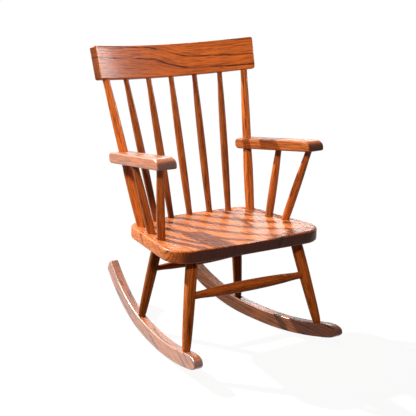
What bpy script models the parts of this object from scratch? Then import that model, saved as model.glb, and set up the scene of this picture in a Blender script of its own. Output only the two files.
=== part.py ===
"""Child's rocking chair in stained oak: each board, turned stick and rocker is its own solid.

Metres, +Z up, floor at z = 0. The chair faces -Y, and left and right are as seen from its front.
"""

import math

import bmesh
import bpy
from mathutils import Matrix, Vector

# Fits
CLEARANCE = 0.0003  # between a tenon and its socket, and under a shoulder
FOOT_CLEARANCE = 0.0005  # between a leg's angled shoulder and the hollow top of its rocker
SOCKET_SPARE = 0.0005  # glue room past the end of a tenon
STRAIGHT = 0.006  # a stick keeps its end diameter this far out of its socket

# Facets
STICK_SIDES = 20
SWELL_RINGS = 3  # rings on each side of a swell
FILLET_STEPS = 7
EDGE_STEPS = 3  # facets round an eased edge
SHARP_ANGLE = math.radians(40)

# Seat: a filleted outline on a deck that falls towards the back
SEAT_HEIGHT = 0.2807  # deck above the floor at y = 0
SEAT_SLOPE = math.radians(3.6)
SEAT_THICK = 0.031
SEAT_FRONT_Y = -0.1925
SEAT_FRONT_CORNER_X = 0.2245
SEAT_FRONT_FILLET = 0.060
SEAT_BACK_CORNER_X = 0.179
SEAT_BACK_CORNER_Y = 0.096
SEAT_BACK_FILLET = 0.050
SEAT_BACK_Y = 0.106
SEAT_EDGE = 0.006
DISH_DEPTH = 0.008
DISH_CENTRE_Y = -0.085
DISH_HALF_WIDTH = 0.165
DISH_HALF_LENGTH = 0.140
DISH_SIDES = 40
DISH_RINGS = 5

# Crest rail: a board bent to an arc, hollow to the front and raked back
CREST_BOTTOM_Y = 0.2053
CREST_BOTTOM_Z = 0.6036
CREST_RAKE = math.radians(20.54)
CREST_HEIGHT = 0.0815
CREST_THICK = 0.019
CREST_RADIUS = 0.65
CREST_HALF_BOTTOM = 0.2338  # half its length along the arc
CREST_HALF_TOP = 0.2378
CREST_EDGE = 0.0035
CREST_CORNER = 0.005
CREST_SPANS = 12

# Back sticks: centres on an arc in the seat and on the crest's arc
BASE_ARC_RADIUS = 0.38
BASE_ARC_Y = 0.0906
SPINDLE_INNER_BASE_X = 0.0570
SPINDLE_OUTER_BASE_X = 0.1073
POST_BASE_X = 0.1611
POST_TOP_INSET = 0.0288  # from the crest's end, along its arc
SPINDLE_INNER_TOP_AT = 0.330  # share of the way from the middle of the crest to the post
SPINDLE_OUTER_TOP_AT = 0.676  # share of the same way
SPINDLE_BASE_DIA = 0.0150
SPINDLE_SWELL_DIA = 0.0188
SPINDLE_SWELL_AT = 0.42  # share of the stick's length
SPINDLE_TOP_DIA = 0.0128
POST_BASE_DIA = 0.0225
POST_SWELL_DIA = 0.0245
POST_SWELL_AT = 0.65  # share of the length under the arm
POST_ARM_DIA = 0.0220
POST_TOP_DIA = 0.0170
POST_TENON_DIA = 0.0120
BACK_SOCKET_DEPTH = 0.017  # in the seat
CREST_SOCKET_DEPTH = 0.020

# Arms: boards that rise to the front and spread
ARM_HEIGHT = 0.4456  # underside above the floor at y = 0
ARM_SLOPE = math.radians(11.08)
ARM_THICK = 0.0265
ARM_WIDTH = 0.0495
ARM_FRONT_OUT = 0.0322  # from the back post that passes through the arm
ARM_FRONT_AHEAD = 0.2414
ARM_BACK_OUT = 0.0047
ARM_BACK_AHEAD = -0.0292
ARM_FRONT_ROUND = 0.025  # length of the front end's rounding over the top
ARM_FRONT_TIP = 0.003  # height of the front end's upright face
ARM_FRONT_CORNER = 0.005
ARM_BACK_ROUND = 0.012
ARM_EDGE = 0.004
ARM_SOCKET_DEPTH = 0.014

# Arm posts
ARM_POST_FRONT_BASE_X = 0.1807
ARM_POST_FRONT_BASE_Y = -0.0693
ARM_POST_FRONT_TOP_OUT = 0.0333  # from the back post, as the arm's ends are
ARM_POST_FRONT_TOP_AHEAD = 0.2095
ARM_POST_REAR_BASE_X = 0.1732
ARM_POST_REAR_BASE_Y = -0.0120
ARM_POST_REAR_TOP_OUT = 0.0295
ARM_POST_REAR_TOP_AHEAD = 0.0942
ARM_POST_BASE_DIA = 0.0195
ARM_POST_SWELL_DIA = 0.0205
ARM_POST_SWELL_AT = 0.22  # share of the stick's length
ARM_POST_TOP_DIA = 0.0155

# Legs: from sockets under the seat to shoulders on the rockers
LEG_FRONT_TOP_X = 0.1493
LEG_FRONT_TOP_Y = -0.1554
LEG_FRONT_FOOT_X = 0.1902
LEG_FRONT_FOOT_Y = -0.2120
LEG_FRONT_TOP_DIA = 0.0274
LEG_FRONT_SWELL_DIA = 0.0285
LEG_FRONT_FOOT_DIA = 0.0206
LEG_REAR_TOP_X = 0.1135
LEG_REAR_TOP_Y = 0.0456
LEG_REAR_FOOT_X = 0.1460
LEG_REAR_FOOT_Y = 0.0629
LEG_REAR_TOP_DIA = 0.0253
LEG_REAR_SWELL_DIA = 0.0263
LEG_REAR_FOOT_DIA = 0.0194
LEG_SWELL_AT = 0.15
LEG_SOCKET_DEPTH = 0.016
FOOT_TENON_DIA = 0.0120
FOOT_TENON_LENGTH = 0.018

# Stretchers: straight sticks whose ends reach the axes of the legs
STRETCHER_FRONT_Z = 0.1780
STRETCHER_FRONT_MID_DIA = 0.0270
STRETCHER_FRONT_END_DIA = 0.0172
STRETCHER_REAR_Z = 0.1616
STRETCHER_REAR_MID_DIA = 0.0210
STRETCHER_REAR_END_DIA = 0.0140

# Rockers: two arcs that meet at the resting point, in lines that close in towards the back
ROCKER_REST_Y = 0.004
ROCKER_REST_FLAT = 0.030  # level length of sole under the resting chair
ROCKER_FRONT_RADIUS = 0.85
ROCKER_BACK_RADIUS = 0.48
ROCKER_FRONT_REACH = 0.292
ROCKER_BACK_REACH = 0.286
ROCKER_HEIGHT = 0.0353
ROCKER_WIDTH = 0.0234
ROCKER_EDGE = 0.0032
ROCKER_FRONT_ROUND = 0.050  # length of the front end's rounding over the top
ROCKER_FRONT_NOSE = 0.015  # height left under that rounding
ROCKER_FRONT_UNDER = 0.030  # length of the front end's rounding underneath
ROCKER_FRONT_LIFT = 0.011  # height of that rounding
ROCKER_BACK_ROUND = 0.008
ROCKER_SPANS = 8  # facets along each arc
END_SPANS = 7  # facets round the end of an arm or a rocker

OAK_BOARD = (0.36, 0.145, 0.045, 1.0)
OAK_STICK = (0.40, 0.165, 0.055, 1.0)
OAK_ROUGHNESS = 0.32

X = Vector((1, 0, 0))
Z = Vector((0, 0, 1))


def remove_all():
    for old in list(bpy.data.objects):
        bpy.data.objects.remove(old)


def add_object(name, lofts, colour, parent):
    """One object from closed lofts, each a list of rings with as many points."""
    body = bmesh.new()
    for rings in lofts:
        rows = [[body.verts.new(point) for point in ring] for ring in rings]
        for low, high in zip(rows, rows[1:]):
            for i in range(len(low)):
                j = (i + 1) % len(low)
                body.faces.new((low[i], low[j], high[j], high[i]))
        body.faces.new(rows[0][::-1])
        body.faces.new(rows[-1])
    if body.calc_volume(signed=True) < 0:
        bmesh.ops.reverse_faces(body, faces=body.faces)
    mesh = bpy.data.meshes.new(name)
    body.to_mesh(mesh)
    body.free()
    mesh.shade_smooth()
    mesh.set_sharp_from_angle(angle=SHARP_ANGLE)
    obj = bpy.data.objects.new(name, mesh)
    bpy.context.scene.collection.objects.link(obj)
    obj.parent = parent
    if colour:
        material = bpy.data.materials.new(name)
        material.use_nodes = True
        shader = material.node_tree.nodes["Principled BSDF"]
        shader.inputs["Base Color"].default_value = colour
        shader.inputs["Roughness"].default_value = OAK_ROUGHNESS
        shader.inputs["Metallic"].default_value = 0.0
        mesh.materials.append(material)
    return obj


def round_edges(obj, width):
    bevel = obj.modifiers.new("rounded_edges", "BEVEL")
    bevel.width = width
    bevel.segments = EDGE_STEPS
    bevel.limit_method = "ANGLE"
    bevel.angle_limit = SHARP_ANGLE


def cut(obj, name, lofts, parent):
    cutter = add_object(name, lofts, None, parent)
    cutter.hide_render = True
    cutter.display_type = "WIRE"
    boolean = obj.modifiers.new(name, "BOOLEAN")
    boolean.operation = "DIFFERENCE"
    boolean.solver = "EXACT"
    boolean.object = cutter


def mirrored(point, side):
    return Vector((side * point.x, point.y, point.z))


def along(start, end):
    """Local-to-world matrix of a stick: its origin at the start and its Z towards the end."""
    axis = (end - start).normalized()
    across = X if abs(axis.x) < abs(axis.z) else Z
    u = (across - axis * across.dot(axis)).normalized()
    v = axis.cross(u)
    return Matrix.Translation(start) @ Matrix((u, v, axis)).transposed().to_4x4()


def circle(radius, z, sides=STICK_SIDES):
    turns = [2 * math.pi * i / sides for i in range(sides)]
    return [Vector((radius * math.cos(a), radius * math.sin(a), z)) for a in turns]


def on_plane(ring, point, normal):
    """The ring's points moved along the stick onto a plane, all in the stick's own frame."""
    return [Vector((p.x, p.y, p.z + (point - p).dot(normal) / normal.z)) for p in ring]


def swelled(start, end, dia_start, dia_swell, dia_end, swell_at):
    """Rings (z, diameter) of a turned swell, a parabola on each side of its thickest place."""
    top = start + (end - start) * swell_at
    rings = []
    for i in range(SWELL_RINGS + 1):
        share = 1 - i / SWELL_RINGS
        rings.append((top + (start - top) * share, dia_swell + (dia_start - dia_swell) * share**2))
    for i in range(1, SWELL_RINGS + 1):
        share = i / SWELL_RINGS
        rings.append((top + (end - top) * share, dia_swell + (dia_end - dia_swell) * share**2))
    return rings


def turned(rings):
    return [circle(dia / 2, z) for z, dia in rings]


def socket(matrix, dia, start, end):
    """A socket's cutter in the world, with the same facets as the stick that goes in."""
    radius = dia / 2 + CLEARANCE / math.cos(math.pi / STICK_SIDES)
    return [[matrix @ p for p in circle(radius, z)] for z in (start, end)]


def filleted(corners):
    """A closed outline: each corner is (x, y, fillet radius), in order around it."""
    points = []
    for i, (x, y, radius) in enumerate(corners):
        here = Vector((x, y))
        back = (Vector(corners[i - 1][:2]) - here).normalized()
        ahead = (Vector(corners[(i + 1) % len(corners)][:2]) - here).normalized()
        if not radius:
            points.append(here)
            continue
        half = back.angle(ahead) / 2
        centre = here + (back + ahead).normalized() * radius / math.sin(half)
        first = here + back * radius / math.tan(half) - centre
        sweep = first.angle_signed(here + ahead * radius / math.tan(half) - centre)
        for step in range(FILLET_STEPS + 1):
            points.append(centre + Matrix.Rotation(-sweep * step / FILLET_STEPS, 2) @ first)
    return points


def deck(x, y):
    return Vector((x, y, SEAT_HEIGHT - math.tan(SEAT_SLOPE) * y))


def underside(x, y):
    return deck(x, y) - Z * SEAT_THICK / math.cos(SEAT_SLOPE)


def under_arm(x, y):
    return Vector((x, y, ARM_HEIGHT - math.tan(ARM_SLOPE) * y))


def base_of_back(x):
    return deck(x, BASE_ARC_Y - BASE_ARC_RADIUS + math.sqrt(BASE_ARC_RADIUS**2 - x**2))


def crest_point(turn, inward, height):
    """A point of the crest rail from its angle, its place in the thickness and its height."""
    up = Vector((0, math.sin(CREST_RAKE), math.cos(CREST_RAKE)))
    front = Vector((0, -math.cos(CREST_RAKE), math.sin(CREST_RAKE)))
    radius = CREST_RADIUS - inward
    middle = Vector((0, CREST_BOTTOM_Y, CREST_BOTTOM_Z))
    forward = CREST_RADIUS - radius * math.cos(turn)
    return middle + X * radius * math.sin(turn) + front * forward + up * height


def under_crest(share):
    """A stick's top under the crest rail: share 0 is the middle and 1 the place of a post."""
    return crest_point(share * (CREST_HALF_BOTTOM - POST_TOP_INSET) / CREST_RADIUS, 0, 0)


def on_arm(out, ahead):
    """A point under the right arm, out and ahead of where its back post passes through."""
    base, top = base_of_back(POST_BASE_X), under_crest(1)
    axis = (top - base).normalized()
    up = Vector((0, math.sin(ARM_SLOPE), math.cos(ARM_SLOPE)))
    through = base + axis * (under_arm(0, 0) - base).dot(up) / axis.dot(up)
    return under_arm(through.x + out, through.y - ahead)


def rocker_x(y):
    """The rocker's centre line in plan, through both feet of its legs."""
    share = (y - LEG_FRONT_FOOT_Y) / (LEG_REAR_FOOT_Y - LEG_FRONT_FOOT_Y)
    return LEG_FRONT_FOOT_X + share * (LEG_REAR_FOOT_X - LEG_FRONT_FOOT_X)


def rocker_arc(way):
    """Centre height, which is the radius, and centre y of the front (-1) or back (1) arc."""
    radius = ROCKER_FRONT_RADIUS if way < 0 else ROCKER_BACK_RADIUS
    return radius, ROCKER_REST_Y + way * ROCKER_REST_FLAT / 2


def foot(x, y):
    """A foot's centre on the rocker's top, and the top's normal there."""
    radius, centre = rocker_arc(-1 if y < ROCKER_REST_Y else 1)
    rise = math.sqrt((radius - ROCKER_HEIGHT) ** 2 - (y - centre) ** 2)
    return Vector((x, y, radius - rise)), Vector((0, centre - y, rise)).normalized()


def eased(distance, length, depth):
    """How far an end's rounding has cut in, at a distance from the end, along a quarter ellipse."""
    share = max(0, 1 - distance / length)
    return depth * (1 - math.sqrt(1 - share**2))


def end_places(length):
    """Distances from an end that step evenly round a quarter ellipse of this length."""
    turns = [math.pi / 2 * i / END_SPANS for i in range(END_SPANS + 1)]
    return [length * (1 - math.cos(turn)) for turn in turns]


def section(half, low, high, edge):
    """(across, height) round a board's section, its four edges eased as far as the board allows."""
    edge = min(edge, half / 2, (high - low) / 3)
    centres = ((half - edge, high - edge, 0), (edge - half, high - edge, 1))
    centres += ((edge - half, low + edge, 2), (half - edge, low + edge, 3))
    points = []
    for across, height, quarter in centres:
        for step in range(EDGE_STEPS + 1):
            turn = math.pi / 2 * (quarter + step / EDGE_STEPS)
            points.append((across + edge * math.cos(turn), height + edge * math.sin(turn)))
    return points


def rocker_stations(way):
    """Sole point, normal, low and high limits and end easing, from the rest to the tip."""
    radius, centre = rocker_arc(way)
    reach = ROCKER_FRONT_REACH if way < 0 else ROCKER_BACK_REACH
    rounding = ROCKER_FRONT_ROUND if way < 0 else ROCKER_BACK_ROUND
    length = radius * math.asin((reach - ROCKER_REST_FLAT / 2) / radius)
    to_tip = [length - (length - rounding) * i / ROCKER_SPANS for i in range(ROCKER_SPANS)]
    stations = []
    for distance in to_tip + end_places(rounding)[::-1]:
        turn = (length - distance) / radius
        point = Vector((0, centre + way * radius * math.sin(turn), radius - radius * math.cos(turn)))
        normal = Vector((0, -way * math.sin(turn), math.cos(turn)))
        if way < 0:
            low = eased(distance, ROCKER_FRONT_UNDER, ROCKER_FRONT_LIFT)
            high = ROCKER_HEIGHT - eased(distance, rounding, ROCKER_HEIGHT - ROCKER_FRONT_NOSE)
        else:
            low = eased(distance, rounding, rounding)
            high = ROCKER_HEIGHT - low
        narrowed = eased(distance, ROCKER_EDGE, ROCKER_EDGE)
        stations.append((point, normal, low, high, narrowed))
    return stations


def make_rocker(side, parent):
    slant = math.hypot(1, rocker_x(1) - rocker_x(0))
    rings = []
    for point, normal, low, high, narrowed in rocker_stations(-1)[::-1] + rocker_stations(1):
        ring = []
        for across, height in section(ROCKER_WIDTH / 2 - narrowed, low, high, ROCKER_EDGE):
            here = point + normal * height
            ring.append(mirrored(here + X * (rocker_x(here.y) + across * slant), side))
        rings.append(ring)
    return add_object("rocker_right" if side > 0 else "rocker_left", [rings], OAK_BOARD, parent)


def make_seat(parent):
    half = [
        (SEAT_FRONT_CORNER_X, SEAT_FRONT_Y, SEAT_FRONT_FILLET),
        (SEAT_BACK_CORNER_X, SEAT_BACK_CORNER_Y, SEAT_BACK_FILLET),
    ]
    corners = half + [(0, SEAT_BACK_Y, 0)] + [(-x, y, r) for x, y, r in half[::-1]]
    outline = filleted(corners)
    rings = [[Vector((p.x, p.y, z)) for p in outline] for z in (-SEAT_THICK, 0)]
    seat = add_object("seat", [rings], OAK_BOARD, parent)
    seat.location = deck(0, 0)
    seat.rotation_euler.x = -SEAT_SLOPE
    round_edges(seat, SEAT_EDGE)
    bowl = []
    for i in range(DISH_RINGS + 1):
        share = (i + 1) / DISH_RINGS
        ring = circle(share, DISH_DEPTH * (share**2 - 1), DISH_SIDES)
        bowl.append([Vector((p.x * DISH_HALF_WIDTH, p.y * DISH_HALF_LENGTH, p.z)) for p in ring])
    cut(seat, "seat_dish", [bowl], seat)
    bpy.data.objects["seat_dish"].location.y = DISH_CENTRE_Y
    return seat


def make_crest(parent):
    places = [CREST_HALF_BOTTOM - distance for distance in end_places(CREST_CORNER)]
    inner = CREST_HALF_BOTTOM - CREST_CORNER
    places += [inner - 2 * inner * i / CREST_SPANS for i in range(1, CREST_SPANS)]
    places += [-place for place in places[END_SPANS::-1]]
    rings = []
    for place in places:
        distance = CREST_HALF_BOTTOM - abs(place)
        low = eased(distance, CREST_CORNER, CREST_CORNER)
        half = CREST_THICK / 2 - eased(distance, CREST_EDGE, CREST_EDGE)
        ring = []
        for inward, height in section(half, low, CREST_HEIGHT - low, CREST_EDGE):
            flare = 1 + (CREST_HALF_TOP / CREST_HALF_BOTTOM - 1) * height / CREST_HEIGHT
            ring.append(crest_point(place * flare / CREST_RADIUS, inward, height))
        rings.append(ring)
    return add_object("crest_rail", [rings], OAK_BOARD, parent)


def make_arm(side, parent):
    back = on_arm(ARM_BACK_OUT, ARM_BACK_AHEAD)
    front = on_arm(ARM_FRONT_OUT, ARM_FRONT_AHEAD)
    ahead = (front - back).normalized()
    up = Vector((0, math.sin(ARM_SLOPE), math.cos(ARM_SLOPE)))
    aside = ahead.cross(up)
    length = (front - back).length
    stations = []
    for distance in end_places(ARM_BACK_ROUND):
        depth = eased(distance, ARM_BACK_ROUND, ARM_BACK_ROUND)
        stations.append((distance, depth, ARM_THICK - depth))
    for distance in end_places(ARM_FRONT_ROUND)[::-1]:
        low = eased(distance, ARM_FRONT_CORNER, ARM_FRONT_CORNER)
        depth = ARM_THICK - ARM_FRONT_TIP - ARM_FRONT_CORNER
        stations.append((length - distance, low, ARM_THICK - eased(distance, ARM_FRONT_ROUND, depth)))
    rings = []
    for place, low, high in stations:
        half = ARM_WIDTH / 2 - eased(min(place, length - place), ARM_EDGE, ARM_EDGE)
        points = section(half, low, high, ARM_EDGE)
        ring = [back + ahead * place + aside * across + up * height for across, height in points]
        rings.append([mirrored(p, side) for p in ring])
    return add_object("arm_right" if side > 0 else "arm_left", [rings], OAK_BOARD, parent)


def add_stick(name, matrix, rings, parent):
    stick = add_object(name, [rings], OAK_STICK, parent)
    stick.matrix_local = matrix
    return stick


def make_spindle(name, base, top, sockets, parent):
    matrix, length = along(base, top), (top - base).length
    rings = [(-BACK_SOCKET_DEPTH, SPINDLE_BASE_DIA)]
    rings += swelled(
        STRAIGHT,
        length - STRAIGHT,
        SPINDLE_BASE_DIA,
        SPINDLE_SWELL_DIA,
        SPINDLE_TOP_DIA,
        SPINDLE_SWELL_AT,
    )
    rings.append((length + CREST_SOCKET_DEPTH, SPINDLE_TOP_DIA))
    add_stick(name, matrix, turned(rings), parent)
    seat_end = -BACK_SOCKET_DEPTH - SOCKET_SPARE
    crest_end = length + CREST_SOCKET_DEPTH + SOCKET_SPARE
    sockets["seat"].append(socket(matrix, SPINDLE_BASE_DIA, seat_end, SPINDLE_BASE_DIA))
    sockets["crest_rail"].append(socket(matrix, SPINDLE_TOP_DIA, length - SPINDLE_TOP_DIA, crest_end))


def make_post(side, name, sockets, parent):
    base, top = mirrored(base_of_back(POST_BASE_X), side), mirrored(under_crest(1), side)
    matrix, length = along(base, top), (top - base).length
    axis = (top - base).normalized()
    up = Vector((0, math.sin(ARM_SLOPE), math.cos(ARM_SLOPE)))
    arm_low = (under_arm(0, 0) - base).dot(up) / axis.dot(up)
    arm_high = arm_low + ARM_THICK / axis.dot(up)
    rings = [(-BACK_SOCKET_DEPTH, POST_BASE_DIA)]
    rings += swelled(
        STRAIGHT, arm_low - STRAIGHT, POST_BASE_DIA, POST_SWELL_DIA, POST_ARM_DIA, POST_SWELL_AT
    )
    taper = swelled(arm_high + STRAIGHT, length - POST_TOP_DIA, POST_ARM_DIA, POST_ARM_DIA, POST_TOP_DIA, 0)
    rings += taper[SWELL_RINGS:]
    to_local = matrix.inverted()
    normal = (to_local.to_3x3() @ (crest_point(0, 0, 1) - crest_point(0, 0, 0))).normalized()
    shoulder = Vector((0, 0, length)) - normal * CLEARANCE
    body = turned(rings)
    for dia in (POST_TOP_DIA, POST_TENON_DIA):
        body.append(on_plane(circle(dia / 2, length), shoulder, normal))
    body.append(circle(POST_TENON_DIA / 2, length + CREST_SOCKET_DEPTH))
    add_stick(name, matrix, body, parent)
    seat_end = -BACK_SOCKET_DEPTH - SOCKET_SPARE
    crest_end = length + CREST_SOCKET_DEPTH + SOCKET_SPARE
    sockets["seat"].append(socket(matrix, POST_BASE_DIA, seat_end, POST_BASE_DIA))
    arm = "arm_right" if side > 0 else "arm_left"
    sockets[arm].append(socket(matrix, POST_ARM_DIA, arm_low - POST_ARM_DIA, arm_high + POST_ARM_DIA))
    sockets["crest_rail"].append(socket(matrix, POST_TENON_DIA, length - POST_TOP_DIA, crest_end))


def make_arm_post(side, name, base, top, sockets, parent):
    base, top = mirrored(base, side), mirrored(top, side)
    matrix, length = along(base, top), (top - base).length
    rings = [(-BACK_SOCKET_DEPTH, ARM_POST_BASE_DIA)]
    rings += swelled(
        STRAIGHT,
        length - STRAIGHT,
        ARM_POST_BASE_DIA,
        ARM_POST_SWELL_DIA,
        ARM_POST_TOP_DIA,
        ARM_POST_SWELL_AT,
    )
    rings.append((length + ARM_SOCKET_DEPTH, ARM_POST_TOP_DIA))
    add_stick(name, matrix, turned(rings), parent)
    seat_end = -BACK_SOCKET_DEPTH - SOCKET_SPARE
    arm_end = length + ARM_SOCKET_DEPTH + SOCKET_SPARE
    sockets["seat"].append(socket(matrix, ARM_POST_BASE_DIA, seat_end, ARM_POST_BASE_DIA))
    arm = "arm_right" if side > 0 else "arm_left"
    sockets[arm].append(socket(matrix, ARM_POST_TOP_DIA, length - ARM_POST_TOP_DIA, arm_end))


def make_leg(side, name, top, foot_at, dias, stretcher_z, sockets, parent):
    """A leg, and the point of its axis where the stretcher ends."""
    end, top_normal = foot(*foot_at)
    top, end = mirrored(top, side), mirrored(end, side)
    matrix, length = along(top, end), (end - top).length
    normal = (matrix.inverted().to_3x3() @ -top_normal).normalized()
    dia_top, dia_swell, dia_foot = dias
    rings = [(-LEG_SOCKET_DEPTH, dia_top)]
    body_end = length - dia_foot / 2
    rings += swelled(STRAIGHT, body_end, dia_top, dia_swell, dia_foot, LEG_SWELL_AT)
    shoulder = Vector((0, 0, length)) - normal * FOOT_CLEARANCE
    body = turned(rings)
    for dia in (dia_foot, FOOT_TENON_DIA):
        body.append(on_plane(circle(dia / 2, length), shoulder, normal))
    body.append(circle(FOOT_TENON_DIA / 2, length + FOOT_TENON_LENGTH))
    leg = add_stick(name, matrix, body, parent)
    sockets["seat"].append(socket(matrix, dia_top, -LEG_SOCKET_DEPTH - SOCKET_SPARE, dia_top))
    rocker = "rocker_right" if side > 0 else "rocker_left"
    tenon_end = length + FOOT_TENON_LENGTH + SOCKET_SPARE
    sockets[rocker].append(socket(matrix, FOOT_TENON_DIA, length - FOOT_TENON_DIA, tenon_end))
    return leg, top + (end - top) * (top.z - stretcher_z) / (top.z - end.z)


def make_stretcher(name, legs, ends, leg_dia, dias, parent):
    start, end = ends
    end_dia, mid_dia = dias
    matrix, length = along(start, end), (end - start).length
    clear = leg_dia / 2 + STRAIGHT
    rings = [(0, end_dia)]
    rings += swelled(clear, length - clear, end_dia, mid_dia, end_dia, 1 / 2)
    rings.append((length, end_dia))
    add_stick(name, matrix, turned(rings), parent)
    left = socket(matrix, end_dia, -SOCKET_SPARE, leg_dia)
    right = socket(matrix, end_dia, length - leg_dia, length + SOCKET_SPARE)
    for leg, hole in zip(legs, (left, right)):
        cut(leg, leg.name + "_socket", [hole], parent)


def main():
    remove_all()
    chair = bpy.data.objects.new("chair", None)
    bpy.context.scene.collection.objects.link(chair)
    stations = rocker_stations(-1) + rocker_stations(1)
    reach = [(at + normal * h).y for at, normal, low, high, _ in stations for h in (low, high)]
    chair.location.y = -(min(reach) + max(reach)) / 2

    boards = {"seat": make_seat(chair), "crest_rail": make_crest(chair)}
    for side in (-1, 1):
        for board in (make_arm(side, chair), make_rocker(side, chair)):
            boards[board.name] = board
    sockets = {name: [] for name in boards}

    bases = (-SPINDLE_OUTER_BASE_X, -SPINDLE_INNER_BASE_X, 0, SPINDLE_INNER_BASE_X, SPINDLE_OUTER_BASE_X)
    tops = (-SPINDLE_OUTER_TOP_AT, -SPINDLE_INNER_TOP_AT, 0, SPINDLE_INNER_TOP_AT, SPINDLE_OUTER_TOP_AT)
    for i, (base, top) in enumerate(zip(bases, tops)):
        make_spindle(f"back_spindle_{i + 1}", base_of_back(base), under_crest(top), sockets, chair)

    front_legs, rear_legs = [], []
    for side, hand in ((-1, "left"), (1, "right")):
        make_post(side, f"back_post_{hand}", sockets, chair)
        make_arm_post(
            side,
            f"arm_post_front_{hand}",
            deck(ARM_POST_FRONT_BASE_X, ARM_POST_FRONT_BASE_Y),
            on_arm(ARM_POST_FRONT_TOP_OUT, ARM_POST_FRONT_TOP_AHEAD),
            sockets,
            chair,
        )
        make_arm_post(
            side,
            f"arm_post_rear_{hand}",
            deck(ARM_POST_REAR_BASE_X, ARM_POST_REAR_BASE_Y),
            on_arm(ARM_POST_REAR_TOP_OUT, ARM_POST_REAR_TOP_AHEAD),
            sockets,
            chair,
        )
        front_legs.append(
            make_leg(
                side,
                f"leg_front_{hand}",
                underside(LEG_FRONT_TOP_X, LEG_FRONT_TOP_Y),
                (LEG_FRONT_FOOT_X, LEG_FRONT_FOOT_Y),
                (LEG_FRONT_TOP_DIA, LEG_FRONT_SWELL_DIA, LEG_FRONT_FOOT_DIA),
                STRETCHER_FRONT_Z,
                sockets,
                chair,
            )
        )
        rear_legs.append(
            make_leg(
                side,
                f"leg_rear_{hand}",
                underside(LEG_REAR_TOP_X, LEG_REAR_TOP_Y),
                (LEG_REAR_FOOT_X, LEG_REAR_FOOT_Y),
                (LEG_REAR_TOP_DIA, LEG_REAR_SWELL_DIA, LEG_REAR_FOOT_DIA),
                STRETCHER_REAR_Z,
                sockets,
                chair,
            )
        )
    front_dias = (STRETCHER_FRONT_END_DIA, STRETCHER_FRONT_MID_DIA)
    rear_dias = (STRETCHER_REAR_END_DIA, STRETCHER_REAR_MID_DIA)
    for name, legs, leg_dia, dias in (
        ("stretcher_front", front_legs, LEG_FRONT_SWELL_DIA, front_dias),
        ("stretcher_rear", rear_legs, LEG_REAR_SWELL_DIA, rear_dias),
    ):
        solids, ends = zip(*legs)
        make_stretcher(name, solids, ends, leg_dia, dias, chair)

    for name, holes in sockets.items():
        cut(boards[name], name + "_sockets", holes, chair)


main()
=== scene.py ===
"""Looks of the child's rocking chair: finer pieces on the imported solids, in stained and varnished oak.

Metres, +Z up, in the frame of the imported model. The chair faces -Y.
"""

import math
import random

import bmesh
import bpy
import numpy as np
from mathutils import Matrix, Vector


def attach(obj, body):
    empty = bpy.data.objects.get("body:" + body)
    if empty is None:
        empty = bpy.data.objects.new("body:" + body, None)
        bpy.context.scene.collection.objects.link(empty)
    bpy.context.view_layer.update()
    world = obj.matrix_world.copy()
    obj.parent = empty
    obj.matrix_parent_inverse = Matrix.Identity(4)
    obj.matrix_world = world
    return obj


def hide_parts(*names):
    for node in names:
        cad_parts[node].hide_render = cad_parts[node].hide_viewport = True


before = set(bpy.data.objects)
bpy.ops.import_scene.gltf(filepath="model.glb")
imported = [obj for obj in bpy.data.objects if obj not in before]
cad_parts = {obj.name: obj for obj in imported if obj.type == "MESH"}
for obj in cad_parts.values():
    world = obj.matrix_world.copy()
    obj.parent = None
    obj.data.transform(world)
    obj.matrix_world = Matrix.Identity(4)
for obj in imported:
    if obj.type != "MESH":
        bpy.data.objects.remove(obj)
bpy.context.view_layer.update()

X = Vector((1, 0, 0))
Y = Vector((0, 1, 0))
Z = Vector((0, 0, 1))

# Camera of the photograph
CAMERA_PLACE = Vector((-1.5649, -2.2906, 1.1857))
CAMERA_FORWARD = Vector((0.5370, 0.7888, -0.2989))
CAMERA_RIGHT = Vector((0.8343, -0.5490, 0.0500))
CAMERA_LENS = 102.79
CAMERA_SENSOR = 36.0

# Turned sticks
STICK_SIDES = 40
RING_STEPS = 6  # steps from one ring of the solid to the next
RING_COUNT = 18  # vertices that make a full ring of the solid
END_DEPTH = 0.0006  # depth within which vertices belong to a stick's end face
RING_GAP = 0.0002  # least distance of an angled shoulder from the rings beside it
RADIUS_SLACK = 0.0001
LEVEL_SHARE = 0.7  # share of Y in a stick's direction from which Z is its up
SOCKET_CLEARANCE = 0.0003
SOCKET_SPARE = 0.0005
STRETCHERS = {
    "stretcher_front": ("leg_front_left", "leg_front_right"),
    "stretcher_rear": ("leg_rear_left", "leg_rear_right"),
}

# Boards
BOARDS = ("seat", "crest_rail", "arm_left", "arm_right", "rocker_left", "rocker_right")
WELD = 1e-6
SHARP_ANGLE = math.radians(35)
FACE_WEIGHT = 100
SEAT_SLOPE = math.radians(3.6)
CREST_RAKE = math.radians(20.54)
CREST_RADIUS = 0.65
CREST_MIDDLE = 0.04  # half of the stretch whose depth tells where the bend's centre is

# Colours of the oak
OAK_LIGHT = (0.65, 0.196, 0.042, 1)
OAK_MID = (0.22, 0.052, 0.011, 1)
OAK_DARK = (0.085, 0.019, 0.007, 1)
OAK_PORE = (0.045, 0.012, 0.005, 1)
OAK_END = (0.11, 0.08, 0.08, 1)  # by which end grain is multiplied

# Noises in the oak: scale along and across the fibres, detail, roughness
WANDER = ((5.0, 22.0, 22.0), 3.0)
FIBRES = ((24.0, 520.0, 520.0), 3.0, 0.6)
BREAKS = ((14.0, 70.0, 70.0), 2.0)
FINE_PORES = ((38.0, 760.0, 760.0), 2.0)
COARSE_PORES = ((20.0, 380.0, 380.0), 2.0)
DASHES = ((15.0, 290.0, 290.0), 2.0, 0.6)
CLOUDS = ((5.0, 26.0, 26.0), 2.0)
STREAKS = ((18.0, 400.0, 400.0), 4.0, 0.72)

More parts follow.
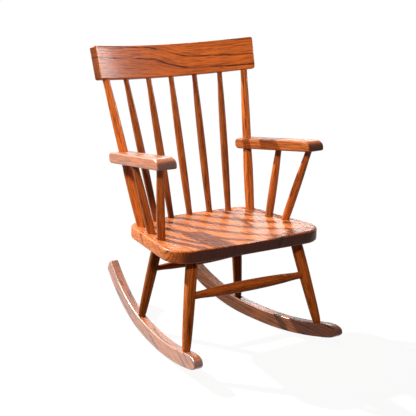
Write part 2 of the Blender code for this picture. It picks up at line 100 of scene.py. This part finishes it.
# Ramps in the oak: from low, from high, to low, to high
DIP_RAMP = (-0.065, 0.055)  # stretch along the crest in which its fibres dip
LINE_RISE = (0.0, 0.2)
LINE_FALL = (0.35, 1.0, 1.0, 0.0)
BREAK_RAMP = (0.36, 0.60, 0.15, 1.0)
FINE_RAMP = (0.55, 0.64)
COARSE_RAMP = (0.56, 0.64, 0.0, 0.8)
DASH_RAMP = (0.585, 0.64, 0.0, 0.55)
CLOUD_RAMP = (0.30, 0.70)
STREAK_RAMP = (0.33, 0.55)
END_RAMP = (0.55, 0.96)

# Amounts in the oak
WANDER_REACH = (0, 0.014, 0.014)
FRAY = 0.0036
DRIFT_SCALE = 0.45
DRIFT_DETAIL = 1.0
DRIFT = 2.0  # unevenness of the rings, in rings
PORES_IN_LINE = 0.6
PORES_BETWEEN = 0.35
PORE_SHARE = 0.8
STREAK_SHARE = 0.72
CLOUD_SHARE = 0.28
ROUGHNESS = 0.34
FIBRE_ROUGHNESS = 0.16
PORE_ROUGHNESS = 0.25
FIBRE_HEIGHT = 0.25
PORE_HEIGHT = -0.9
LINE_HEIGHT = -0.25
BUMP_STRENGTH = 0.35
BUMP_DISTANCE = 0.0005

# Planks: pith, lean, dip, ring width, width and strength of lines, tone, strength of end grain
PLANK_KEYS = ("pith", "lean", "dip", "ring", "line", "figure", "tone", "end")
PLANKS = {
    "crest_rail": ((0.0, -0.5195, 0.0), (0, 0.05, 0.0), 0.021, 0.043, 0.0075, 1.2, 1.02, 0.65),
    "seat": ((0.0, 0.320, -0.110), (0, 0.03, 0.0), 0.0, 0.0085, 0.0026, 0.9, 1.12, 1.0),
    "arm_left": ((0.0, 0.012, -0.060), (0, 0.02, 0.03), 0.0, 0.0055, 0.0014, 0.6, 0.82, 0.9),
    # The right arm's lower tone is painted shade: it stands in for the shadow of the crest and posts that
    # falls across it.
    "arm_right": ((0.0, -0.008, -0.055), (0, -0.02, 0.03), 0.0, 0.0055, 0.0014, 0.5, 0.75, 0.9),
    "rocker_left": ((0.0, 0.020, -0.045), (0, 0.30, 0.04), 0.0, 0.0140, 0.0055, 1.0, 0.75, 0.5),
    # The right rocker's low tone is painted shade: it stands in for the seat's shadow that covers much of
    # it.
    "rocker_right": ((0.0, -0.060, -0.030), (0, -0.07, 0.0), 0.0, 0.0085, 0.0035, 0.9, 0.5, 0.5),
}
STICK_OFFSET = (1, 9)  # how far along its log a stick's plank may lie
STICK_PITH = (0.05, 0.09)
STICK_LEAN = 0.02
STICK_RINGS = (0.0, 0.0075, 0.0021, 0.6)  # dip, ring width, width and strength of lines
STICK_END = 0.5
STICK_TONES = {  # the first name that a node starts with counts
    # The rear legs' lower tone is painted shade from the seat above them.
    "leg_rear": 0.6,
    "leg": 0.98,
    "stretcher": 0.88,
    # The back posts' higher tone is partly their own lighter wood and partly a painted highlight.
    "back_post": 1.1,
    "back_spindle": 0.60,
    "arm_post": 0.8,
}
TONE_SPREAD = (0.86, 1.14)

# Varnish: specular level, weight and roughness of the coat, weight of the sheen
VARNISH_KEYS = ("Specular IOR Level", "Coat Weight", "Coat Roughness", "Sheen Weight")
VARNISH = {
    "rocker_left": (0.7, 1.0, 0.13, 0.1),
    "rocker_right": (0.25, 0.2, 0.13, 0.05),
    "crest_rail": (0.15, 0.12, 0.19, 0.05),
    "seat": (0.1, 0.15, 0.22, 0.1),
    "arm_left": (0.45, 0.6, 0.12, 0.2),
    "arm_right": (0.1, 0.1, 0.12, 0.05),
}
STICK_VARNISH = (0.1, 0.08, 0.16, 0.05)
UNDER_VARNISH = (0.05, 0.0, 0.2, 0.0)  # on the legs and stretchers
SHEEN_ROUGHNESS = 0.3
SHEEN_TINT = (1, 0.93, 0.90, 1)

# Material slots of the record, by the first word of a node's name
SLOTS = {
    "seat": "oak_seat",
    "crest": "oak_crest",
    "arm": "oak_arm",
    "rocker": "oak_rocker",
    "leg": "oak_leg",
    "stretcher": "oak_leg",
}
STICK_SLOT = "oak_back_stick"

# World and floor
WHITE = (1, 1, 1, 1)
FILL_COLOUR = (1.0, 0.68, 0.44)
WORLD_FILL = 0.05
FLOOR_HALF = 6
FLOOR_DEPTH = 0.02
FLOOR_COLOUR = (0.86, 0.86, 0.86, 1)
FLOOR_BOUNCE = (0.08, 0.05, 0.03, 1)
FLOOR_SHADE = 0.06  # share of the floor's look that takes the shadow

# Lamps
MIDDLE = Vector((0, 0, 0.35))  # of the chair
SUN_FROM = Vector((-0.414, 0.689, 0.595))
SUN_AWAY = 3
SUN_STRENGTH = 7.1
SUN_ANGLE = math.radians(1.2)
SUN_COLOUR = (1.0, 0.98, 0.97)
GLOSS_LAMPS = {  # lamps that show only in the varnish: place, aim, watts, size, spread in degrees
    "side": (Vector((1.6, -0.37, 1.18)), Vector((-0.20, 0.16, 0.66)), 0.5, 0.45, 16),
    "edge": (Vector((-0.95, 1.85, 1.9)), MIDDLE, 100, 1.4, 180),
    "glare": (Vector((1.38, 1.45, 0.95)), Vector((0.1, -0.03, 0.29)), 8.0, 0.5, 180),
    "shine": (Vector((0.75, 1.6, 1.0)), Vector((-0.2, -0.08, 0.45)), 0.036, 0.3, 14),
}
FRONT_PLACE = Vector((-1.45, -1.55, 2.1))
FRONT_AIM = Vector((0, 0.12, 0.6))
FRONT_WATTS = 3.8
FRONT_SIZE = 0.35
FRONT_SPREAD = math.radians(40)
LEFT_PLACE = Vector((-0.95, 0.55, 2.2))
LEFT_WATTS = 4
LEFT_SIZE = 0.6


# Geometry

def frame_matrix(origin, along, up):
    """Local-to-world matrix with X along the fibres and Z as near to up as that allows."""
    along = along.normalized()
    across = up.cross(along).normalized()
    turn = Matrix((along, across, along.cross(across))).transposed().to_4x4()
    return Matrix.Translation(origin) @ turn


def points_of(node):
    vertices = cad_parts[node].data.vertices
    places = np.zeros(len(vertices) * 3)
    vertices.foreach_get("co", places)
    return np.unique(places.reshape(-1, 3).round(6), axis=0)


def main_axis(points):
    centred = points - points.mean(0)
    return np.linalg.eigh(centred.T @ centred)[1][:, -1]


def stick_ends(points):
    """Centres of the two end faces of a turned stick, the lower or left one first."""
    along = points @ main_axis(points)
    first = Vector(points[along < along.min() + END_DEPTH].mean(0))
    last = Vector(points[along > along.max() - END_DEPTH].mean(0))
    span = last - first
    forward = span.z > 0 if abs(span.z) > abs(span.x) else span.x > 0
    return (first, last) if forward else (last, first)


def full_rings(place, radius):
    """(place, radius) of each ring of the solid that is square to the stick's axis."""
    rings = np.stack([place.round(4), radius.round(5)], 1)
    keys, counts = np.unique(rings, axis=0, return_counts=True)
    return [tuple(key) for key, count in zip(keys, counts) if count >= RING_COUNT]


def smooth_profile(rings):
    """More rings between the given ones, on a curve that never swells past them."""
    places = np.array([ring[0] for ring in rings])
    radii = np.array([ring[1] for ring in rings])
    slopes = np.diff(radii) / np.diff(places)
    bends = np.zeros(len(rings))
    for i in range(1, len(rings) - 1):
        if slopes[i - 1] * slopes[i] > 0:
            bends[i] = 2 * slopes[i - 1] * slopes[i] / (slopes[i - 1] + slopes[i])
    fine = []
    for i, span in enumerate(np.diff(places)):
        for step in range(RING_STEPS):
            s = step / RING_STEPS
            value = (2 * s**3 - 3 * s**2 + 1) * radii[i] + (s**3 - 2 * s**2 + s) * span * bends[i]
            value += (3 * s**2 - 2 * s**3) * radii[i + 1] + (s**3 - s**2) * span * bends[i + 1]
            fine.append((places[i] + s * span, value))
    return fine + [rings[-1]]


def circle(radius, tilt):
    """Ring round the X axis; tilt is (y share, z share, place) of the plane that it lies on."""
    ring = []
    for i in range(STICK_SIDES):
        turn = 2 * math.pi * i / STICK_SIDES
        y, z = radius * math.cos(turn), radius * math.sin(turn)
        ring.append(Vector((tilt[0] * y + tilt[1] * z + tilt[2], y, z)))
    return ring


def loft(name, rings):
    """A closed mesh through rings of equally many points."""
    body = bmesh.new()
    rows = [[body.verts.new(point) for point in ring] for ring in rings]
    for low, high in zip(rows, rows[1:]):
        for i in range(len(low)):
            j = (i + 1) % len(low)
            body.faces.new((low[i], low[j], high[j], high[i]))
    body.faces.new(rows[0][::-1])
    body.faces.new(rows[-1])
    if body.calc_volume(signed=True) < 0:
        bmesh.ops.reverse_faces(body, faces=body.faces)
    mesh = bpy.data.meshes.new(name)
    body.to_mesh(mesh)
    body.free()
    return mesh


def place_piece(name, mesh, matrix):
    piece = bpy.data.objects.new(name, mesh)
    bpy.context.scene.collection.objects.link(piece)
    piece.matrix_world = matrix
    return piece


def shade(mesh):
    mesh.shade_smooth()
    mesh.set_sharp_from_angle(angle=SHARP_ANGLE)


def make_stick(node):
    """A finer turning with the solid's profile and angled shoulder, its axis on local X, and its rings."""
    points = points_of(node)
    start, end = stick_ends(points)
    level = abs((end - start).normalized().y) >= LEVEL_SHARE
    matrix = frame_matrix(start, end - start, Z if level else Y)
    local = np.array([matrix.inverted() @ Vector(point) for point in points])
    place, radius = local[:, 0], np.hypot(local[:, 1], local[:, 2])
    rings = full_rings(place, radius)
    last_place, last_radius = rings[-2]
    tip_place, tip_radius = rings[-1]
    beyond = (place > last_place + RING_GAP) & (np.abs(radius - last_radius) < RADIUS_SLACK)
    shoulder = local[beyond & (place < tip_place - RING_GAP)]
    if len(shoulder):
        rows = np.column_stack([shoulder[:, 1:], np.ones(len(shoulder))])
        plane = np.linalg.lstsq(rows, shoulder[:, 0], rcond=None)[0]
        lofted = [circle(r, (0, 0, x)) for x, r in smooth_profile(rings[:-1])]
        lofted += [circle(last_radius, plane), circle(tip_radius, plane)]
        lofted.append(circle(tip_radius, (0, 0, tip_place)))
    else:
        lofted = [circle(r, (0, 0, x)) for x, r in smooth_profile(rings)]
    mesh = loft(node, lofted)
    shade(mesh)
    return place_piece(node + "_turned", mesh, matrix), rings


def cut_sockets(stretcher, rings, legs):
    """The holes of a stretcher's two ends in its legs."""
    radius, length = rings[0][1] + SOCKET_CLEARANCE, rings[-1][0]
    reach = 2 * rings[len(rings) // 2][1]
    spans = ((-SOCKET_SPARE, reach), (length - reach, length + SOCKET_SPARE))
    for leg, span in zip(legs, spans):
        mesh = loft("socket", [circle(radius, (0, 0, x)) for x in span])
        cutter = place_piece("socket", mesh, stretcher.matrix_world)
        boolean = leg.modifiers.new("socket", "BOOLEAN")
        boolean.operation = "DIFFERENCE"
        boolean.solver = "EXACT"
        boolean.object = cutter
        bpy.context.view_layer.update()
        done = leg.evaluated_get(bpy.context.evaluated_depsgraph_get())
        leg.data = bpy.data.meshes.new_from_object(done)
        leg.modifiers.clear()
        bpy.data.objects.remove(cutter)
        shade(leg.data)


def board_matrix(node):
    """Frame of a board, with X along its fibres."""
    points = points_of(node)
    centre = Vector(points.mean(0))
    if node == "seat":
        return frame_matrix(centre, Vector((0, -1, math.tan(SEAT_SLOPE))), Z)
    if node == "crest_rail":
        front = Vector((0, -math.cos(CREST_RAKE), math.sin(CREST_RAKE)))
        return frame_matrix(centre, X, front)
    if node.startswith("arm"):
        axis = Vector(main_axis(points))
        return frame_matrix(centre, axis if axis.y < 0 else -axis, Z)
    slant = np.polyfit(points[:, 1], points[:, 0], 1)[0]
    outward = X if centre.x > 0 else -X
    return frame_matrix(centre, Vector((-slant, -1, 0)), outward)


def make_board(node):
    """The solid's own form, welded and smooth."""
    matrix = board_matrix(node)
    body = bmesh.new()
    body.from_mesh(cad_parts[node].data)
    bmesh.ops.remove_doubles(body, verts=body.verts, dist=WELD)
    bmesh.ops.transform(body, matrix=matrix.inverted(), verts=body.verts)
    mesh = bpy.data.meshes.new(node)
    body.to_mesh(mesh)
    body.free()
    shade(mesh)
    piece = place_piece(node + "_board", mesh, matrix)
    weighted = piece.modifiers.new("weighted_normals", "WEIGHTED_NORMAL")
    weighted.keep_sharp = True
    weighted.weight = FACE_WEIGHT
    return piece


def set_grain(piece, unrolled):
    """Stores where each point lies in the plank: X along the fibres, also round the bend of the crest."""
    mesh = piece.data
    places = np.zeros(len(mesh.vertices) * 3)
    mesh.vertices.foreach_get("co", places)
    places = places.reshape(-1, 3)
    if unrolled:
        middle = places[np.abs(places[:, 0]) < CREST_MIDDLE]
        depth = CREST_RADIUS - (places[:, 2] - middle[:, 2].mean())
        turn = np.arctan2(places[:, 0], depth)
        places[:, 2] = CREST_RADIUS - np.hypot(places[:, 0], depth)
        places[:, 0] = CREST_RADIUS * turn
    grain = mesh.attributes.new("grain", "FLOAT_VECTOR", "POINT")
    grain.data.foreach_set("vector", places.astype(np.float32).ravel())


# Materials

class Wires:
    """Short ways to add nodes to a tree; an input may be a socket, a number or a vector."""

    COLUMNS = 12
    STEP = (200, -260)

    def __init__(self, tree):
        self.tree = tree
        self.count = 0

    def add(self, kind, inputs=(), **settings):
        self.count += 1
        row, column = divmod(self.count, self.COLUMNS)
        node = self.tree.nodes.new(kind)
        node.location = (self.STEP[0] * column, self.STEP[1] * row)
        for name, value in settings.items():
            setattr(node, name, value)
        for key, value in dict(inputs).items():
            if isinstance(value, bpy.types.NodeSocket):
                self.tree.links.new(value, node.inputs[key])
            else:
                node.inputs[key].default_value = value
        return node

    def math(self, operation, a, b=0.0, c=0.0, clamp=False):
        node = self.add("ShaderNodeMath", {0: a, 1: b, 2: c}, operation=operation, use_clamp=clamp)
        return node.outputs[0]

    def vector(self, operation, a, b):
        return self.add("ShaderNodeVectorMath", {0: a, 1: b}, operation=operation).outputs[0]

    def scaled(self, vector, scale):
        node = self.add("ShaderNodeVectorMath", {0: vector, "Scale": scale}, operation="SCALE")
        return node.outputs[0]

    def split(self, vector):
        return self.add("ShaderNodeSeparateXYZ", {0: vector}).outputs

    def joined(self, **parts):
        return self.add("ShaderNodeCombineXYZ", parts).outputs[0]

    def noise(self, vector, scale, detail, rough=0.5, output="Fac"):
        inputs = {"Vector": self.vector("MULTIPLY", vector, scale), "Scale": 1.0}
        inputs.update({"Detail": detail, "Roughness": rough})
        return self.add("ShaderNodeTexNoise", inputs).outputs[output]

    def ramp(self, value, low, high, to_low=0.0, to_high=1.0):
        inputs = {"Value": value, "From Min": low, "From Max": high, "To Min": to_low, "To Max": to_high}
        return self.add("ShaderNodeMapRange", inputs, interpolation_type="SMOOTHSTEP").outputs["Result"]

    def mix(self, share, a, b, blend="MIX"):
        inputs = {0: share, 6: a, 7: b}
        return self.add("ShaderNodeMix", inputs, data_type="RGBA", blend_type=blend).outputs[2]


def oak_group():
    """Colour, roughness and height of stained oak from a place in the plank."""
    group = bpy.data.node_groups.new("stained_oak", "ShaderNodeTree")
    sockets = [("Place", "Vector"), ("Pith", "Vector"), ("Lean", "Vector")]
    sockets += [(name, "Float") for name in ("Dip", "Ring", "Line", "Figure", "Tone", "End")]
    for name, kind in sockets:
        group.interface.new_socket(name, in_out="INPUT", socket_type="NodeSocket" + kind)
    for name, kind in (("Color", "Color"), ("Roughness", "Float"), ("Height", "Float")):
        group.interface.new_socket(name, in_out="OUTPUT", socket_type="NodeSocket" + kind)
    w = Wires(group)
    given = w.add("NodeGroupInput").outputs
    along = w.split(given["Place"])["X"]
    dip = w.math("MULTIPLY", w.ramp(along, *DIP_RAMP), given["Dip"])
    place = w.vector("ADD", given["Place"], w.joined(Y=dip))

    # Year rings round the pith, each starting with a dark line of early wood
    shift = w.vector("SUBTRACT", w.noise(place, *WANDER, output="Color"), (0.5, 0.5, 0.5))
    moved = w.vector("ADD", w.vector("MULTIPLY", shift, WANDER_REACH), place)
    leaned = w.scaled(given["Lean"], along)
    from_pith = w.split(w.vector("ADD", w.vector("SUBTRACT", moved, given["Pith"]), leaned))
    flat = w.joined(Y=from_pith["Y"], Z=from_pith["Z"])
    distance = w.add("ShaderNodeVectorMath", {0: flat}, operation="LENGTH").outputs["Value"]
    fibre = w.noise(place, *FIBRES)
    rings = w.math("DIVIDE", w.math("MULTIPLY_ADD", fibre, FRAY, distance), given["Ring"])
    drift = {"W": rings, "Scale": DRIFT_SCALE, "Detail": DRIFT_DETAIL}
    uneven = w.add("ShaderNodeTexNoise", drift, noise_dimensions="1D").outputs["Fac"]
    turn = w.math("FRACT", w.math("MULTIPLY_ADD", uneven, DRIFT, rings))
    past = w.math("DIVIDE", w.math("MULTIPLY", turn, given["Ring"]), given["Line"])
    early = w.math("MULTIPLY", w.ramp(past, *LINE_RISE), w.ramp(past, *LINE_FALL))
    broken = w.ramp(w.noise(place, *BREAKS), *BREAK_RAMP)
    line = w.math("MULTIPLY", w.math("MULTIPLY", early, broken), given["Figure"], clamp=True)

    # Pores, dashes and lighter or darker streaks along the fibres
    fine = w.ramp(w.noise(place, *FINE_PORES), *FINE_RAMP)
    coarse = w.ramp(w.noise(place, *COARSE_PORES), *COARSE_RAMP)
    crowd = w.math("MULTIPLY_ADD", early, PORES_IN_LINE, PORES_BETWEEN)
    pores = w.math("MULTIPLY", w.math("MAXIMUM", fine, coarse), crowd)
    dash = w.ramp(w.noise(place, *DASHES), *DASH_RAMP)
    cloud = w.math("MULTIPLY", w.ramp(w.noise(place, *CLOUDS), *CLOUD_RAMP), CLOUD_SHARE)
    streak = w.ramp(w.noise(place, *STREAKS), *STREAK_RAMP)

    base = w.mix(w.math("MULTIPLY_ADD", streak, STREAK_SHARE, cloud), OAK_MID, OAK_LIGHT)
    lined = w.mix(line, w.mix(dash, base, OAK_DARK), OAK_DARK)
    pored = w.mix(w.math("MULTIPLY", pores, PORE_SHARE), lined, OAK_PORE)
    facing = w.math("ABSOLUTE", w.split(w.add("ShaderNodeTexCoord").outputs["Normal"])["X"])
    end = w.math("MULTIPLY", w.ramp(facing, *END_RAMP), given["End"])
    ended = w.mix(end, pored, w.mix(1.0, pored, OAK_END, "MULTIPLY"))
    toned = w.scaled(ended, given["Tone"])

    rough = w.math("MULTIPLY_ADD", pores, PORE_ROUGHNESS, ROUGHNESS)
    rough = w.math("MULTIPLY_ADD", fibre, FIBRE_ROUGHNESS, rough)
    height = w.math("MULTIPLY_ADD", pores, PORE_HEIGHT, w.math("MULTIPLY", early, LINE_HEIGHT))
    height = w.math("MULTIPLY_ADD", fibre, FIBRE_HEIGHT, height)
    w.add("NodeGroupOutput", {"Color": toned, "Roughness": rough, "Height": height})
    return group


def oak_material(name, group, offset, varnish, plank):
    material = bpy.data.materials.new(name)
    material.use_nodes = True
    tree = material.node_tree
    shader = tree.nodes["Principled BSDF"]
    w = Wires(tree)
    grain = w.add("ShaderNodeAttribute", attribute_name="grain").outputs["Vector"]
    oak = w.add("ShaderNodeGroup", node_tree=group)
    tree.links.new(w.vector("ADD", grain, offset), oak.inputs["Place"])
    for key, value in plank.items():
        oak.inputs[key.capitalize()].default_value = value
    relief = {"Height": oak.outputs["Height"], "Strength": BUMP_STRENGTH, "Distance": BUMP_DISTANCE}
    bump = w.add("ShaderNodeBump", relief)
    tree.links.new(oak.outputs["Color"], shader.inputs["Base Color"])
    tree.links.new(oak.outputs["Roughness"], shader.inputs["Roughness"])
    tree.links.new(bump.outputs["Normal"], shader.inputs["Normal"])
    for key, value in zip(VARNISH_KEYS, varnish):
        shader.inputs[key].default_value = value
    shader.inputs["Sheen Roughness"].default_value = SHEEN_ROUGHNESS
    shader.inputs["Sheen Tint"].default_value = SHEEN_TINT
    return material


def slot_of(node):
    if node.startswith("arm_post"):
        return STICK_SLOT
    return SLOTS.get(node.split("_")[0], STICK_SLOT)


def varnish_of(node):
    return VARNISH.get(node, UNDER_VARNISH if slot_of(node) == "oak_leg" else STICK_VARNISH)


def plank_of(node, chance):
    """The plank that a piece is cut from, by the names of the oak's inputs; chance places a stick's."""
    if node in PLANKS:
        return dict(zip(PLANK_KEYS, PLANKS[node]))
    turn = chance.uniform(0, 2 * math.pi)
    reach = chance.uniform(*STICK_PITH)
    pith = (0.0, reach * math.cos(turn), reach * math.sin(turn))
    lean = (0, chance.uniform(-STICK_LEAN, STICK_LEAN), chance.uniform(-STICK_LEAN, STICK_LEAN))
    tone = next(tone for kind, tone in STICK_TONES.items() if node.startswith(kind))
    tone *= chance.uniform(*TONE_SPREAD)
    return dict(zip(PLANK_KEYS, (pith, lean, *STICK_RINGS, tone, STICK_END)))


def finish_piece(piece, node, group):
    chance = random.Random(node)
    offset = (0.0, 0.0, 0.0) if node in PLANKS else (chance.uniform(*STICK_OFFSET), 0.0, 0.0)
    set_grain(piece, node == "crest_rail")
    material = oak_material("oak_" + node, group, offset, varnish_of(node), plank_of(node, chance))
    piece.data.materials.clear()
    piece.data.materials.append(material)
    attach(piece, "root")
    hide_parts(node)
    slot_of(node)


def make_chair():
    group = oak_group()
    sticks = {node: make_stick(node) for node in sorted(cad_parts) if node not in BOARDS}
    for stretcher, legs in STRETCHERS.items():
        piece, rings = sticks[stretcher]
        cut_sockets(piece, rings, [sticks[leg][0] for leg in legs])
    for node, (piece, _) in sticks.items():
        finish_piece(piece, node, group)
    for node in BOARDS:
        finish_piece(make_board(node), node, group)


# Stage

def make_camera():
    data = bpy.data.cameras.new("camera")
    data.lens = CAMERA_LENS
    data.sensor_width = CAMERA_SENSOR
    camera = bpy.data.objects.new("camera", data)
    bpy.context.scene.collection.objects.link(camera)
    up = CAMERA_RIGHT.cross(CAMERA_FORWARD).normalized()
    turn = Matrix((CAMERA_RIGHT, up, -CAMERA_FORWARD)).transposed().to_4x4()
    camera.matrix_world = Matrix.Translation(CAMERA_PLACE) @ turn
    bpy.context.scene.camera = camera


def white_rays(w, light):
    """1 for the rays that see white surroundings, and 0 for those that only light the chair."""
    mirrored = w.math("MAXIMUM", light["Is Glossy Ray"], light["Is Transmission Ray"])
    return w.math("MAXIMUM", light["Is Camera Ray"], mirrored)


def make_world():
    """White to the camera and in the gloss; a dim, warm level of it lights the chair."""
    world = bpy.data.worlds.new("studio")
    bpy.context.scene.world = world
    world.use_nodes = True
    tree = world.node_tree
    tree.nodes.clear()
    w = Wires(tree)
    seen = white_rays(w, w.add("ShaderNodeLightPath").outputs)
    strength = w.add("ShaderNodeMix", {0: seen, 2: WORLD_FILL, 3: 1.0}).outputs[0]
    colour = w.mix(seen, (*FILL_COLOUR, 1), WHITE)
    shown = w.add("ShaderNodeBackground", {"Color": colour, "Strength": strength})
    w.add("ShaderNodeOutputWorld", {"Surface": shown.outputs[0]})


def make_floor():
    """White to the camera and in the gloss, apart from the share that takes the chair's shadow."""
    corners = [(x * FLOOR_HALF, y * FLOOR_HALF) for x, y in ((-1, -1), (1, -1), (1, 1), (-1, 1))]
    mesh = loft("floor", [[Vector((x, y, z)) for x, y in corners] for z in (-FLOOR_DEPTH, 0)])
    floor = place_piece("floor", mesh, Matrix())
    material = bpy.data.materials.new("pale_floor")
    material.use_nodes = True
    tree = material.node_tree
    tree.nodes.clear()
    w = Wires(tree)
    light = w.add("ShaderNodeLightPath").outputs
    colour = w.mix(light["Is Camera Ray"], FLOOR_BOUNCE, FLOOR_COLOUR)
    lit = w.add("ShaderNodeBsdfDiffuse", {"Color": colour})
    white = w.add("ShaderNodeEmission", {"Strength": 1.0})
    share = w.math("MULTIPLY", white_rays(w, light), 1 - FLOOR_SHADE)
    surface = w.add("ShaderNodeMixShader", {0: share, 1: lit.outputs[0], 2: white.outputs[0]})
    w.add("ShaderNodeOutputMaterial", {"Surface": surface.outputs[0]})
    floor.data.materials.append(material)


def add_lamp(name, kind, place, aim, energy, **settings):
    data = bpy.data.lights.new(name, kind)
    data.energy = energy
    for key, value in settings.items():
        setattr(data, key, value)
    lamp = bpy.data.objects.new(name, data)
    bpy.context.scene.collection.objects.link(lamp)
    lamp.location = place
    lamp.rotation_mode = "QUATERNION"
    lamp.rotation_quaternion = (aim - place).to_track_quat("-Z", "Y")
    return lamp


def make_lamps():
    sun = MIDDLE + SUN_FROM * SUN_AWAY
    add_lamp("key", "SUN", sun, MIDDLE, SUN_STRENGTH, angle=SUN_ANGLE, color=SUN_COLOUR)
    for name, (place, aim, watts, size, spread) in GLOSS_LAMPS.items():
        card = add_lamp(name, "AREA", place, aim, watts, size=size, spread=math.radians(spread))
        card.visible_diffuse = False
    front = {"size": FRONT_SIZE, "spread": FRONT_SPREAD, "color": FILL_COLOUR}
    fill = add_lamp("front", "AREA", FRONT_PLACE, FRONT_AIM, FRONT_WATTS, **front)
    fill.visible_glossy = False
    add_lamp("left", "AREA", LEFT_PLACE, MIDDLE, LEFT_WATTS, size=LEFT_SIZE)


make_camera()
make_world()
make_floor()
make_lamps()
make_chair()

bpy.context.scene.view_settings.view_transform = "Standard"
